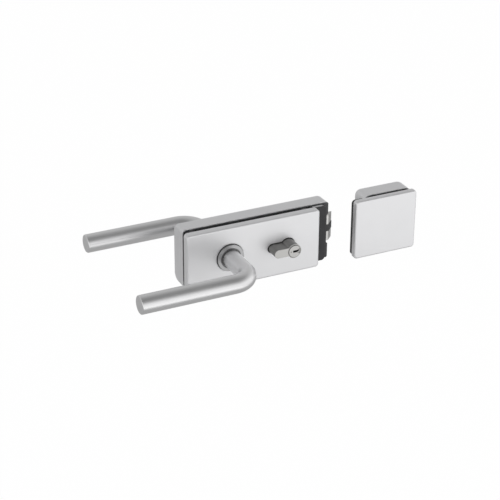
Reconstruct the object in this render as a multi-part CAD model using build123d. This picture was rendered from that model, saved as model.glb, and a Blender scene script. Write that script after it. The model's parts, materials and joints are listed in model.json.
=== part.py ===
from build123d import *
import math
import os

os.makedirs("parts", exist_ok=True)

# Glass, gaskets and the clearances that everything shares
glass = 8.0
gasket_t = 1.0
proud = 0.1
run_gap = 0.05
thread_gap = 0.05
loose_gap = 0.3
slide_gap = 0.2
shell = 1.5
plate_t = 2.5
eps = 1.0
tiny = 0.001

# Front cover of the lock
cover_left = -52.3
cover_right = 112.7
cover_depth = 8.9
cover_corner = 4.0
cover_edge = 2.1
front_plate_t = 3.0
lug_w = 8.0
lug_t = 2.0
lug_h = 6.0
front_pad_x = (-10.0, 60.0)

# Rear cover of the lock
rear_left = -50.4
rear_right = 132.04
rear_depth = 26.9
rear_corner = 4.5
rear_side_round = 5.0
rear_top_round = 12.0
notch_depth = 12.7
notch_corner = 4.5
notch_over_latch = 7.0
notch_under_bolt = 1.0
lid_pad_x = (-30.0, 32.0, 100.0)
lid_pad_z = 12.0

# Lock case behind the base plate
case_left = -45.0
case_right = 126.8
case_half = 26.0
case_depth = 13.0
clamp_zone = 10.2
case_play = 0.5
lid_t = 1.5
post_r = 3.5
post_in = 4.8
forend_t = 3.0
forend_depth = 10.8
corner_block = 14.3
corner_block_high = 8.8
corner_block_deep = 6.3
forend_screw_y = (6.8, 12.0)

# Levers, collars and spindle
lever_r = 10.6
lever_length = 134.2
front_axis = 77.2
rear_axis = 82.8
bend_r = 22.5
lever_end_round = 1.5
collar_r = 16.1
collar_gap = 0.4
collar_proud = 2.5
collar_sink_r = 12.3
collar_sink = 1.2
collar_chamfer = 0.3
spigot_r = 12.0
spindle_side = 8.0
spindle_front = 45.0
spindle_rear = 50.0
bore_extra = 2.0
neck_gap = 0.4
lever_grub_r = 3.0
grub_from_collar = 8.5

# Cylinder
cyl_x = 72.0
cyl_r = 8.5
lobe_r = 5.0
lobe_end = 24.5
cyl_front = 33.86
cyl_rear = 40.0
cyl_hole_gap = 0.8
cyl_case_gap = 0.15
cam_gap_front = 5.0
cam_gap_rear = 15.0
bridge_w = 9.0
plug_r = 6.5
plug_disc_r = 7.7
plug_disc_t = 0.8
plug_chamfer = 0.5
stub_r = 4.0
cam_r = 15.0
cam_half = 3.0
key_start = -2.0
key_end = 6.8
key_inner_end = 5.6
key_half = 1.25
key_flare_half = 2.8
key_flare_w = 3.2
key_depth = 28.0
key_dot_x = -4.6
key_dot_r = 0.7

# Follower and springs
journal_r = 8.0
hub_r = 11.5
hub_gap = 0.3
tip_over_bar = 3.0
arm_lean = 16.0
arm_tip_r = 2.5
arm_half = 1.5
arm_front = 9.3
arm_rear = 13.3
return_mean_r = 2.8
return_wire_r = 0.6
return_turns = 17
return_end = 44.0
latch_spring_z = -4.0
latch_mean_r = 2.4
latch_wire_r = 0.5
latch_turns = 12
latch_spring_start = 90.4
post_w = 2.0
post_half = 5.0

# Latch and dead bolt
latch_back = 106.0
latch_tip = 143.0
latch_over_bolt = 2.0
latch_front = 3.8
latch_rear = 12.2
latch_flat = 0.7
insert_back = 124.0
insert_half = 4.3
insert_proud = 0.5
spring_bore_r = 3.5
spring_bore_end = 122.0
tail_t = 3.0
tail_low = 8.0
tail_bar_h = 6.0
tail_front = 5.5
catch_w = 5.0
catch_rear = 13.0
dead_back = 56.0
dead_tip = 131.9
dead_h = 6.0
dead_front = 4.3
dead_rear = 9.5
cam_bite = 1.5
lug_left_w = 4.8
lug_right_start = 77.4

# Edge block beyond the glass
glass_end = 109.5
block_left = 110.0
block_right = 125.6
block_inset = 1.7
block_t = 2.5
block_corner = 4.0
bracket_t = 3.3
stop_t = 1.0
lip_right = 132.0
lip_inset = 1.0
lip_t = 0.8
lip_corner = 2.0
lip_over_latch = 4.8
lip_under_latch = 1.2
lip_notch_corner = 2.5

# Strike
strike_left = 158.9
strike_right = 239.6
strike_half = 36.6
strike_glass_face = -6.43
strike_slot = 5.07
strike_front_depth = 6.86
strike_rear_left = 176.4
strike_rear_right = 237.6
strike_rear_face = 22.0
strike_corner = 7.0
strike_side_round = 8.5
strike_top_round = 12.0
strike_boss_h = 7.8
strike_post_r = 4.0
strike_grub_up = 4.0
strike_pad_x = (180.0, 227.9)
strike_pad_z = (24.0, 12.0)
screw_tip_room = 3.0
stop_pad_left = 159.1
stop_pad_w = 15.9
stop_pad_inset = 1.8
stop_pad_back = 0.5
keeper_right = 200.0
keeper_back = 13.2
pocket_front = 3.4
pocket_rear = 12.5
pocket_over_latch = 0.4
pocket_under_bolt = 0.6
pocket_end = 198.0
keeper_wall_high = 3.6
keeper_wall_low = 1.4
keeper_foot = 7.5
keeper_foot_t = 3.0
keeper_foot_in = 5.0
keeper_screw_x = 203.7
keeper_screw_z = (-15.0, 9.0)
strike_screw_x = 215.0
strike_screw_z = 24.0

# Fasteners, as shank radius, head radius and socket radius
m5 = (2.5, 4.4, 1.9)
m4 = (2.0, 3.7, 1.5)
m3 = (1.5, 2.6, 1.1)
m2_5 = (1.25, 2.0, 0.9)
socket_share = 0.6
grub_socket_share = 0.8
clamp_x = (-40.0, 100.0)
clamp_boss_r = 3.9
clamp_boss_end = 11.0
sleeve_r = 4.3
sleeve_gap = 0.05
edge_x = 118.0
edge_boss_end = 8.0
front_grub_x = (-28.0, 88.0)
rear_grub_x = (-15.0, 85.0)
rear_grub_y = 7.5
grub_length = 5.2
pad_r = 3.0
lever_socket_r = 2.5
lever_grub_in = 0.75
cyl_screw_x = 52.2
cyl_screw_head_r = 4.2
cyl_screw_head = 3.2
cyl_screw_short = 1.0

# Heights that follow from the case's height, each with its named clearance
case_in = case_half - shell
cover_half = case_half + clamp_zone
clamp_z = case_half + slide_gap + clamp_boss_r
edge_z = case_half + slide_gap + post_r
block_half = cover_half - block_inset
lip_half = cover_half - lip_inset
dead_low = case_play - case_in
dead_high = dead_low + dead_h
lug_top = cam_bite - cam_r
latch_half = -dead_high - latch_over_bolt
tail_top = case_in - case_play
tail_bar_low = tail_top - tail_bar_h
arm_reach = tail_bar_low + tip_over_bar
return_axis_z = case_play - arm_reach
notch_low = dead_low - notch_under_bolt
notch_high = latch_half + notch_over_latch
lip_notch_low = -latch_half - lip_under_latch
lip_notch_high = latch_half + lip_over_latch
pocket_low = dead_low - pocket_under_bolt
pocket_high = latch_half + pocket_over_latch
keeper_low = pocket_low - keeper_wall_low
keeper_high = pocket_high + keeper_wall_high

# Depths along Y that follow from the sizes above
y_gasket_front = -glass
y_plate_back = y_gasket_front - gasket_t
y_plate_front = y_plate_back - front_plate_t
y_front_rim = -glass - proud
y_front_face = y_front_rim - cover_depth
y_base_front = gasket_t
y_base_back = y_base_front + plate_t
y_case_back = y_base_back + case_depth
y_lid_back = y_case_back + lid_t
collar_hole_r = collar_r + collar_gap
y_rear_face = proud + rear_depth
y_rear_inner = y_rear_face - shell
cam_mid = (cam_gap_front + cam_gap_rear) / 2
arm_mid = (arm_front + arm_rear) / 2
latch_mid = (latch_front + latch_rear) / 2
spring_post_x = latch_spring_start - proud - post_w
tip_x = arm_reach * math.sin(math.radians(arm_lean))
return_start = -tip_x + arm_tip_r + slide_gap
edge_front = -block_t
bracket_front = edge_front - bracket_t
stop_front = bracket_front - stop_t
stop_pad_inner_left = stop_pad_left + stop_pad_inset
stop_pad_outer_right = stop_pad_left + stop_pad_w
strike_gasket_left = stop_pad_outer_right + loose_gap
gasket_hole_r = sleeve_r + loose_gap


def save(name, solid):
    export_step(solid, f"parts/{name}.step")


def block(x0, x1, y0, y1, z0, z1):
    """A box between two corners."""
    middle = Pos((x0 + x1) / 2, (y0 + y1) / 2, (z0 + z1) / 2)
    return middle * Box(x1 - x0, y1 - y0, z1 - z0)


def edges_at(edges, axis, value):
    """The edges whose middles lie at a place along an axis."""
    return edges.filter_by_position(axis, value - tiny, value + tiny)


def slab(outline, y0, y1):
    """A plate between two depths, from an outline drawn in X and Z."""
    face = Plane(origin=(0, y1, 0), x_dir=(1, 0, 0), z_dir=(0, -1, 0))
    return extrude(face * outline, amount=y1 - y0)


def rounded(x0, x1, half, corner):
    """A rectangle with round corners, centred in height."""
    return Pos((x0 + x1) / 2, 0) * RectangleRounded(x1 - x0, 2 * half, corner)


def rod(at, toward, radius, length):
    """A round bar from a point towards a direction."""
    return Plane(origin=at, z_dir=toward).location * (
        Pos(0, 0, length / 2) * Cylinder(radius, length)
    )


def rod_y(x, z, radius, y0, y1):
    return rod((x, y0, z), (0, 1, 0), radius, y1 - y0)


def sunk_screw(at, toward, size, length):
    """A countersunk screw with a hexagon socket, its head's flat at a point."""
    radius, head_r, socket_r = size
    head = head_r - radius
    solid = Pos(0, 0, head / 2) * Cone(head_r, radius, head)
    solid += Pos(0, 0, length / 2) * Cylinder(radius, length)
    solid -= extrude(RegularPolygon(socket_r, 6), amount=head * socket_share * 2)
    return Plane(origin=at, z_dir=toward).location * solid


def sunk_hole(at, toward, size, length, gap=thread_gap):
    """The space that a countersunk screw stands in."""
    radius, head_r, _ = size
    wide_r = head_r + gap
    head = wide_r - radius - gap
    solid = Pos(0, 0, head / 2) * Cone(wide_r, radius + gap, head)
    solid += Pos(0, 0, length / 2) * Cylinder(radius + gap, length)
    return Plane(origin=at, z_dir=toward).location * solid


def grub(at, toward, size, length):
    """A headless screw with a hexagon socket, its outer end at a point."""
    radius, _, socket_r = size
    solid = Pos(0, 0, length / 2) * Cylinder(radius, length)
    solid -= extrude(RegularPolygon(socket_r * grub_socket_share, 6), amount=length * socket_share / 2)
    return Plane(origin=at, z_dir=toward).location * solid


def group(solids):
    return Compound(children=list(solids))


def profile(gap=0.0):
    """The cylinder's outline in X and Z, grown by a gap."""
    tail = lobe_end - lobe_r
    shape = Pos(cyl_x, 0) * Circle(cyl_r + gap)
    shape += Pos(cyl_x - tail, 0) * Circle(lobe_r + gap)
    shape += Pos(cyl_x - tail / 2, 0) * Rectangle(tail, 2 * (lobe_r + gap))
    return shape


def tray(x0, x1, half, y0, y1, corner, edge):
    """A cover whose face is at y0 and whose rim is at y1."""
    solid = slab(rounded(x0, x1, half, corner), y0, y1)
    solid = fillet(edges_at(solid.edges(), Axis.Y, y0), edge)
    inside = rounded(x0 + shell, x1 - shell, half - shell, corner - shell)
    return solid - slab(inside, y0 + shell, y1 + eps)


def coil(x0, x1, y, z, mean_r, wire_r, turns):
    """A round wire wound along X as one tube, with a short straight at each end."""
    straight = 2 * wire_r
    lean = (x1 - x0) / turns / (2 * math.pi * mean_r)
    first = x0 + wire_r + straight * lean
    pitch = (x1 - wire_r - straight * lean - first) / turns
    steps = turns * 4

    def at(k):
        angle = k * math.pi / 2
        along = first + pitch * k / 4
        side = mean_r * math.cos(angle)
        point = Vector(along, y + side, z + mean_r * math.sin(angle))
        slope = pitch / (2 * math.pi)
        way = Vector(slope, -mean_r * math.sin(angle), mean_r * math.cos(angle))
        return point, way.normalized()

    start, way = at(0)
    edges = [Line(start - way * straight, start)]
    for k in range(steps):
        p1, t1 = at(k)
        p2, t2 = at(k + 1)
        v = p2 - p1
        turn = 2 * (1 - t1.dot(t2))
        across = v.dot(t1 + t2)
        d = (math.sqrt(across**2 + 2 * turn * v.dot(v)) - across) / turn
        middle = (p1 + t1 * d + p2 - t2 * d) / 2
        joint = (p2 - t2 * d - p1 - t1 * d).normalized()
        edges.append(TangentArc(p1, middle, tangent=t1))
        edges.append(TangentArc(middle, p2, tangent=joint))
    end, way = at(steps)
    edges.append(Line(end, end + way * straight))
    path = Wire(edges)
    start = path @ 0
    return sweep(Plane(origin=start, z_dir=path % 0) * Circle(wire_r), path=path)


def clamp_holes(points, radius, y0, y1):
    return [rod_y(x, z, radius, y0, y1) for x, z in points]


# Front of the lock: clamp plate, gasket, collar and cover
clamp_points = [(x, side * clamp_z) for x in clamp_x for side in (-1, 1)]
inner_left = cover_left + shell + loose_gap
inner_right = cover_right - shell - loose_gap
inner_half = cover_half - shell - loose_gap
inner_corner = cover_corner - shell - loose_gap
lug_mid = y_plate_front - lug_t + (front_plate_t + lug_t) / 2
front_outline = rounded(inner_left, inner_right, inner_half, inner_corner)

front_plate = slab(front_outline, y_plate_front, y_plate_back)
front_plate += [
    block(
        x - lug_w / 2, x + lug_w / 2, y_plate_front - lug_t, y_plate_front,
        -inner_half, lug_h - inner_half,
    )
    for x in front_grub_x
]
front_plate -= rod_y(0, 0, spigot_r + run_gap, y_plate_front - eps, y_plate_back + eps)
front_plate -= slab(profile(cyl_case_gap), y_plate_front - eps, y_plate_back + eps)
front_plate -= [
    sunk_hole((x, y_plate_front, z), (0, 1, 0), m5, front_plate_t + eps)
    for x, z in clamp_points
]
front_plate -= [
    rod((x, lug_mid, -inner_half - eps), (0, 0, 1), m3[0] + thread_gap, lug_h + eps)
    for x in front_grub_x
]
save("front_clamp_plate", front_plate)

front_gasket = slab(
    rounded(inner_left, glass_end, inner_half, inner_corner), y_plate_back, y_gasket_front
)
front_gasket -= rod_y(0, 0, collar_r, y_plate_back - eps, y_gasket_front + eps)
front_gasket -= slab(profile(cyl_hole_gap), y_plate_back - eps, y_gasket_front + eps)
front_gasket -= clamp_holes(clamp_points, gasket_hole_r, y_plate_back - eps, 0)
save("front_gasket", front_gasket)

y_collar_front = y_front_face - collar_proud
front_collar = rod_y(0, 0, collar_r, y_collar_front, y_plate_front)
front_collar = chamfer(
    edges_at(front_collar.edges(), Axis.Y, y_collar_front), collar_chamfer
)
front_collar += rod_y(0, 0, spigot_r, y_plate_front, y_plate_back - slide_gap)
front_collar -= rod_y(0, 0, lever_r + run_gap, y_collar_front - eps, y_plate_back)
front_collar -= rod_y(0, 0, collar_sink_r, y_collar_front - eps, y_collar_front + collar_sink)
save("front_collar", front_collar)

front_cover = tray(
    cover_left, cover_right, cover_half, y_front_face, y_front_rim, cover_corner, cover_edge
)
pad_points = [(x, side * clamp_z) for x in front_pad_x for side in (-1, 1)]
front_cover += clamp_holes(pad_points, pad_r, y_front_face + shell, y_plate_front)
front_cover -= rod_y(0, 0, collar_hole_r, y_front_face - eps, y_front_rim)
front_cover -= slab(profile(cyl_hole_gap), y_front_face - eps, y_front_rim)
front_cover -= [
    rod((x, lug_mid, -cover_half - eps), (0, 0, 1), m3[0] + thread_gap, shell + 2 * eps)
    for x in front_grub_x
]
save("front_cover", front_cover)

# Rear gasket and base plate
base_left = rear_left + shell + loose_gap
base_right = rear_right - shell - loose_gap
base_corner = rear_corner - shell - loose_gap
base_outline = rounded(base_left, base_right, inner_half, base_corner)
edge_points = [(edge_x, side * edge_z) for side in (-1, 1)]

rear_gasket = slab(rounded(base_left, glass_end, inner_half, base_corner), 0, gasket_t)
rear_gasket -= rod_y(0, 0, hub_r, -eps, gasket_t + eps)
rear_gasket -= slab(profile(cyl_hole_gap), -eps, gasket_t + eps)
rear_gasket -= clamp_holes(clamp_points, gasket_hole_r, -eps, gasket_t + eps)
save("rear_gasket", rear_gasket)

case_corner_x = case_right - post_in
case_corner_z = case_half - post_in
lid_points = [
    (case_left + post_in, case_corner_z),
    (case_left + post_in, -case_corner_z),
    (case_corner_x, case_corner_z),
]
y_lid_screw_end = y_base_front + loose_gap
return_post_x = return_end + slide_gap

base_plate = slab(base_outline, y_base_front, y_base_back)
base_plate += clamp_holes(clamp_points, clamp_boss_r, y_base_back, clamp_boss_end)
base_plate += clamp_holes(edge_points, post_r, y_base_back, edge_boss_end)
base_plate += [
    block(
        x - lug_w / 2, x + lug_w / 2, y_base_back, clamp_boss_end,
        -inner_half, -case_half - loose_gap,
    )
    for x in rear_grub_x
]
base_plate += block(
    spring_post_x, spring_post_x + post_w, y_base_back, y_case_back - loose_gap,
    latch_spring_z - post_half, latch_spring_z + post_half,
)
base_plate += block(
    return_post_x, return_post_x + post_w, y_base_back, y_case_back - loose_gap,
    loose_gap - case_in, return_axis_z + post_half - loose_gap,
)
base_plate -= rod_y(0, 0, journal_r + run_gap, 0, y_base_back + eps)
base_plate -= slab(profile(cyl_case_gap), 0, y_base_back + eps)
base_plate -= clamp_holes(clamp_points, m5[0] + thread_gap, 0, clamp_boss_end + eps)
base_plate -= clamp_holes(edge_points, m4[0] + thread_gap, 0, edge_boss_end + eps)
base_plate -= clamp_holes(lid_points, m3[0] + thread_gap, 0, y_base_back + eps)
base_plate -= [
    rod((x, rear_grub_y, -inner_half - eps), (0, 0, 1), m3[0] + thread_gap, grub_length + 2 * eps)
    for x in rear_grub_x
]
save("base_plate", base_plate)

# Lock case, its lid and forend
mid_x = (case_left + case_right) / 2
case_w = case_right - case_left
window_half = latch_half + slide_gap
dead_window = (dead_low - slide_gap, dead_high + slide_gap)
corner_left = case_right - corner_block
corner_screw_x = corner_left + post_r + eps


def case_window(x0, x1):
    """The openings for the latch and the dead bolt."""
    latch_space = block(
        x0, x1, 0, latch_rear + slide_gap, -window_half, window_half
    )
    bolt_space = block(
        x0, x1, dead_front - slide_gap, dead_rear + slide_gap, *dead_window
    )
    return [latch_space, bolt_space]


case = slab(Pos(mid_x, 0) * Rectangle(case_w, 2 * case_half), y_base_back, y_case_back)
case -= slab(
    Pos(mid_x, 0) * Rectangle(case_w - 2 * shell, 2 * case_in),
    y_base_back - eps, y_case_back + eps,
)
case += clamp_holes(lid_points, post_r, y_base_back, y_case_back)
case += block(
    corner_left, case_right - shell, y_case_back - corner_block_deep, y_case_back,
    -case_in, corner_block_high - case_half,
)
case -= clamp_holes(lid_points, m3[0] + thread_gap, y_base_back - eps, y_case_back + eps)
case -= rod_y(
    corner_screw_x, -case_corner_z, m3[0] + thread_gap,
    y_case_back - corner_block_deep - eps, y_case_back + eps,
)
case -= case_window(case_right - shell - eps, case_right + eps)
case -= rod(
    (cyl_screw_x, cam_mid, -case_half - eps), (0, 0, 1), m5[0] + loose_gap, shell + 2 * eps
)
forend_screw_points = [(forend_screw_y[0], case_corner_z), (forend_screw_y[1], -case_corner_z)]
forend_screw_end = case_corner_x + m3[0] + loose_gap
forend_screw_length = case_right + forend_t - forend_screw_end
forend_hole_r = m2_5[0] + thread_gap
case -= [
    rod((case_right + eps, y, z), (-1, 0, 0), forend_hole_r, case_right - forend_screw_end + eps)
    for y, z in forend_screw_points
]
save("lock_case", case)

lid = slab(Pos(mid_x, 0) * Rectangle(case_w, 2 * case_half), y_case_back, y_lid_back)
lid -= rod_y(0, 0, journal_r + run_gap, y_case_back - eps, y_lid_back + eps)
lid -= slab(profile(cyl_case_gap), y_case_back - eps, y_lid_back + eps)
lid -= [
    sunk_hole((x, y_lid_back, z), (0, -1, 0), m3, lid_t + eps)
    for x, z in lid_points + [(corner_screw_x, -case_corner_z)]
]
save("case_lid", lid)

lid_screw_length = y_lid_back - y_lid_screw_end
save(
    "lid_screws",
    group(sunk_screw((x, y_lid_back, z), (0, -1, 0), m3, lid_screw_length) for x, z in lid_points),
)
save(
    "lid_corner_screw",
    sunk_screw(
        (corner_screw_x, y_lid_back, -case_corner_z), (0, -1, 0), m3,
        lid_t + corner_block_deep - loose_gap,
    ),
)

forend = block(
    case_right, case_right + forend_t, y_base_back, y_base_back + forend_depth,
    -case_half, case_half,
)
forend -= case_window(case_right - eps, case_right + forend_t + eps)
forend -= [
    sunk_hole((case_right + forend_t, y, z), (-1, 0, 0), m2_5, forend_t + eps)
    for y, z in forend_screw_points
]
save("forend", forend)
save(
    "forend_screws",
    group(
        sunk_screw((case_right + forend_t, y, z), (-1, 0, 0), m2_5, forend_screw_length)
        for y, z in forend_screw_points
    ),
)

# Rear cover, crossed from two outlines because its rear edges have two radii


def crossed(x0, x1, half, y0, y1, radii):
    """A box with its rear edges rounded at the sides and at the top, then its four corners."""
    corner, side_r, top_r = radii
    plain = block(x0, x1, y0, y1, -half, half)
    back = edges_at(plain.edges(), Axis.Y, y1)
    solid = fillet(back.filter_by(Axis.Z), side_r) & fillet(back.filter_by(Axis.X), top_r)
    creases = [edge for edge in solid.edges() if min(edge.bounding_box().size) > tiny]
    return fillet(creases + solid.edges().filter_by(Axis.Y), corner)


def within(radii):
    """The same radii on the inner side of the wall."""
    return [radius - shell for radius in radii]


rear_radii = (rear_corner, rear_side_round, rear_top_round)
rear_cover = crossed(rear_left, rear_right, cover_half, proud, y_rear_face, rear_radii)
rear_cover -= crossed(
    rear_left + shell, rear_right - shell, cover_half - shell, -eps, y_rear_inner,
    within(rear_radii),
)
lid_pads = [(x, side * lid_pad_z) for x in lid_pad_x for side in (-1, 1)]
rear_cover += clamp_holes(lid_pads, pad_r, y_lid_back, y_rear_inner)
rear_cover -= rod_y(0, 0, collar_hole_r, y_lid_back, y_rear_face + eps)
rear_cover -= slab(profile(cyl_hole_gap), y_lid_back, y_rear_face + eps)
notch = block(
    rear_right - shell - eps, rear_right + eps, -notch_depth, notch_depth, notch_low, notch_high
)
rear_cover -= fillet(notch.edges().filter_by(Axis.X), notch_corner)
rear_cover -= [
    rod((x, rear_grub_y, -cover_half - eps), (0, 0, 1), m3[0] + thread_gap, shell + 2 * eps)
    for x in rear_grub_x
]
save("rear_cover", rear_cover)

y_rear_collar = y_rear_face + collar_proud
rear_collar = rod_y(0, 0, collar_r, y_lid_back, y_rear_collar)
rear_collar -= rod_y(0, 0, lever_r + run_gap, y_lid_back - eps, y_rear_collar + eps)
rear_collar -= rod_y(0, 0, collar_sink_r, y_rear_collar - collar_sink, y_rear_collar + eps)
save("rear_collar", rear_collar)

# Screws that hold the glass and the covers
clamp_length = clamp_boss_end - y_plate_front
save(
    "clamp_screws",
    group(sunk_screw((x, y_plate_front, z), (0, 1, 0), m5, clamp_length) for x, z in clamp_points),
)


def sleeves(points, y0, y1):
    """Sleeves round the clamp screws, through the gaskets and the glass holes."""
    return group(
        rod_y(x, z, sleeve_r, y0 + sleeve_gap, y1 - sleeve_gap)
        - rod_y(x, z, m5[0] + 2 * run_gap, y0, y1)
        for x, z in points
    )


save("clamp_sleeves", sleeves(clamp_points, y_plate_back, y_base_front))

front_grubs = [
    grub((x, lug_mid, -cover_half + slide_gap), (0, 0, 1), m3, grub_length)
    for x in front_grub_x
]
rear_grubs = [
    grub((x, rear_grub_y, -cover_half + slide_gap), (0, 0, 1), m3, grub_length)
    for x in rear_grub_x
]
save("cover_screws", group(front_grubs + rear_grubs))

# Edge block, its bracket and stop gasket beyond the glass edge
edge_outline = rounded(block_left, block_right, block_half, block_corner)
edge_outline += Pos((block_left + edge_x) / 2, 0) * Rectangle(edge_x - block_left, 2 * block_half)


edge_solid = slab(edge_outline, edge_front, 0)
edge_solid += slab(rounded(block_left, lip_right, lip_half, lip_corner), -lip_t, 0)
edge_solid += slab(rounded(block_left, base_right, inner_half, base_corner), 0, y_base_front)
edge_solid -= clamp_holes(edge_points, m4[0] + loose_gap, edge_front - eps, y_base_front + eps)
lip_notch = block(base_right, lip_right + notch_depth, edge_front, eps, lip_notch_low, lip_notch_high)
edge_solid -= fillet(lip_notch.edges().filter_by(Axis.Y), lip_notch_corner)
save("edge_block", edge_solid)
bracket = slab(edge_outline, bracket_front, edge_front)
bracket -= [
    sunk_hole((x, bracket_front, z), (0, 1, 0), m4, bracket_t + eps) for x, z in edge_points
]
save("edge_bracket", bracket)
save("stop_gasket", slab(edge_outline, stop_front, bracket_front))
edge_length = edge_boss_end - bracket_front
save(
    "edge_screws",
    group(sunk_screw((x, bracket_front, z), (0, 1, 0), m4, edge_length) for x, z in edge_points),
)

# Levers, spindle and their set screws


def lever(side, neck_end, axis_y, bore_end):
    """A round bar bent at a right angle, with a square bore; side is -1 in front."""
    bend_y = axis_y - bend_r
    neck = Line((0, side * neck_end, 0), (0, side * bend_y, 0))
    bend = TangentArc((0, side * bend_y, 0), (-bend_r, side * axis_y, 0), tangent=(0, side, 0))
    bar = Line((-bend_r, side * axis_y, 0), (-lever_length, side * axis_y, 0))
    path = Wire([neck, bend, bar])
    solid = sweep(
        Plane(origin=(0, side * neck_end, 0), z_dir=(0, side, 0)) * Circle(lever_r), path=path
    )
    tip = edges_at(solid.edges(), Axis.X, -lever_length)
    solid = fillet(tip, lever_end_round)
    inside = spindle_side + 2 * run_gap
    y0, y1 = sorted((side * (neck_end - eps), side * bore_end))
    solid -= block(-inside / 2, inside / 2, y0, y1, -inside / 2, inside / 2)
    return solid


y_front_grub = y_collar_front - grub_from_collar
y_rear_grub = y_rear_collar + grub_from_collar
front_lever = lever(-1, -y_plate_front + neck_gap, front_axis, spindle_front + bore_extra)
rear_lever = lever(1, y_lid_back + neck_gap, rear_axis, spindle_rear + bore_extra)
grub_hole = (lever_grub_r + thread_gap, lever_r)
front_lever -= rod((0, y_front_grub, -lever_r - eps), (0, 0, 1), grub_hole[0], lever_r)
rear_lever -= rod((0, y_rear_grub, -lever_r - eps), (0, 0, 1), grub_hole[0], lever_r)
save("front_lever", front_lever)
save("rear_lever", rear_lever)

half_side = spindle_side / 2
set_size = (lever_grub_r, lever_grub_r, lever_socket_r)
set_start = lever_r - lever_grub_in
set_screws = [
    grub((0, y, -set_start), (0, 0, 1), set_size, set_start - half_side - run_gap)
    for y in (y_front_grub, y_rear_grub)
]
save("lever_grub_screws", group(set_screws))
spindle = block(-half_side, half_side, -spindle_front, spindle_rear, -half_side, half_side)
save("spindle", spindle)

# Follower, with an arm up to the latch tail and one down to the return spring
hub_front = y_base_back + hub_gap
hub_rear = y_case_back - hub_gap
follower = rod_y(0, 0, hub_r, hub_front, hub_rear)
follower += rod_y(0, 0, journal_r, y_base_front + slide_gap, y_lid_back)
arm = rod_y(0, arm_reach, arm_tip_r, arm_front, arm_rear)
arm += block(-arm_half, arm_half, arm_front, arm_rear, 0, arm_reach)
follower += Rot(0, arm_lean, 0) * arm
follower += Rot(0, arm_lean + 180, 0) * arm
bore_half = half_side + run_gap
follower -= block(-bore_half, bore_half, 0, y_lid_back + eps, -bore_half, bore_half)
save("follower", follower)

save(
    "return_spring",
    coil(
        return_start, return_end, arm_mid, return_axis_z,
        return_mean_r, return_wire_r, return_turns,
    ),
)

# Latch, its insert, tail and spring
slope = latch_rear - latch_front - latch_flat


def latch_shape(back, tip, half):
    """A block with its front corner sloped at 45 degrees."""
    points = [
        (back, latch_front), (tip - slope, latch_front), (tip, latch_front + slope),
        (tip, latch_rear), (back, latch_rear),
    ]
    face = Plane.XY.offset(-half) * make_face(Polyline(*points, close=True))
    return extrude(face, amount=2 * half)


latch = latch_shape(latch_back, latch_tip, latch_half)
seat_half = insert_half + run_gap
latch -= block(insert_back, latch_tip + eps, 0, y_case_back, -seat_half, seat_half)
latch -= rod(
    (latch_back - eps, latch_mid, latch_spring_z), (1, 0, 0), spring_bore_r,
    spring_bore_end - latch_back + eps,
)
save("latch_bolt", latch)
save("latch_insert", latch_shape(insert_back, latch_tip + insert_proud, insert_half))

catch_right = tip_x - arm_tip_r - loose_gap
catch_left = catch_right - catch_w
tail = block(
    latch_back - tail_t, latch_back, tail_front, tail_front + tail_t, tail_low, tail_top
)
tail += block(catch_left, latch_back, tail_front, tail_front + tail_t, tail_bar_low, tail_top)
tail += block(catch_left, catch_right, tail_front, catch_rear, tail_bar_low, tail_top)
save("latch_tail", tail)
save(
    "latch_spring",
    coil(
        latch_spring_start, spring_bore_end - proud, latch_mid, latch_spring_z,
        latch_mean_r, latch_wire_r, latch_turns,
    ),
)

# Dead bolt with two lugs for the cam
dead_bolt = block(dead_back, dead_tip, dead_front, dead_rear, dead_low, dead_high)
dead_bolt += block(
    dead_back, dead_back + lug_left_w, dead_front, dead_rear, dead_high, lug_top
)
dead_bolt += block(
    lug_right_start, lug_right_start + lug_left_w, dead_front, dead_rear, dead_high, lug_top
)
save("dead_bolt", dead_bolt)

# Cylinder body, plugs, cam and fixing screw
body = slab(profile(), -cyl_front, cyl_rear)
bridge_end = cyl_x - lobe_end + bridge_w
body -= block(
    bridge_end, cyl_x + cyl_r + eps, cam_gap_front, cam_gap_rear, -cyl_r - eps, cyl_r + eps
)
body -= rod_y(cyl_x, 0, plug_r + run_gap, -cyl_front - eps, cyl_rear + eps)
body -= rod(
    (cyl_screw_x, cam_mid, -lobe_r - eps), (0, 0, 1), m5[0] + thread_gap, 2 * (lobe_r + eps)
)
save("cylinder_body", body)

cam_front = cam_gap_front + slide_gap
cam_rear = cam_gap_rear - slide_gap
cam = rod_y(cyl_x, 0, cyl_r, cam_front, cam_rear)
tooth = block(cyl_x - cam_r - eps, cyl_x, cam_front, cam_rear, -cam_half, cam_half)
cam += tooth & rod_y(cyl_x, 0, cam_r, cam_front, cam_rear)
cam -= rod_y(cyl_x, 0, stub_r + run_gap, cam_front - eps, cam_rear + eps)
save("cylinder_cam", cam)


def plug(side, outer, inner, stub_end):
    """A plug with a disc at its outer end, a keyway and a stub for the cam."""
    y0, y1 = sorted((side * (outer + run_gap), side * inner))
    solid = rod_y(cyl_x, 0, plug_r, y0, y1)
    y2, y3 = sorted((side * inner, side * stub_end))
    solid += rod_y(cyl_x, 0, stub_r, y2, y3)
    y4, y5 = sorted((side * (outer + run_gap), side * (outer + plug_disc_t)))
    disc = rod_y(cyl_x, 0, plug_disc_r, y4, y5)
    far = side * (outer + plug_disc_t)
    solid += chamfer(edges_at(disc.edges(), Axis.Y, far), plug_chamfer)
    y6, y7 = sorted((side * (outer - key_depth), side * (outer + plug_disc_t + eps)))
    slot = block(cyl_x + key_start, cyl_x + key_inner_end, y6, y7, -key_half, key_half)
    y8, y9 = sorted((side * outer, side * (outer + plug_disc_t + eps)))
    slot += block(cyl_x + key_start, cyl_x + key_end, y8, y9, -key_half, key_half)
    flare_start = cyl_x + key_end - key_flare_w
    slot += block(flare_start, cyl_x + key_end, y8, y9, -key_flare_half, key_flare_half)
    solid -= slot
    solid -= rod_y(cyl_x + key_dot_x, 0, key_dot_r, y8, y9)
    return solid


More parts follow.
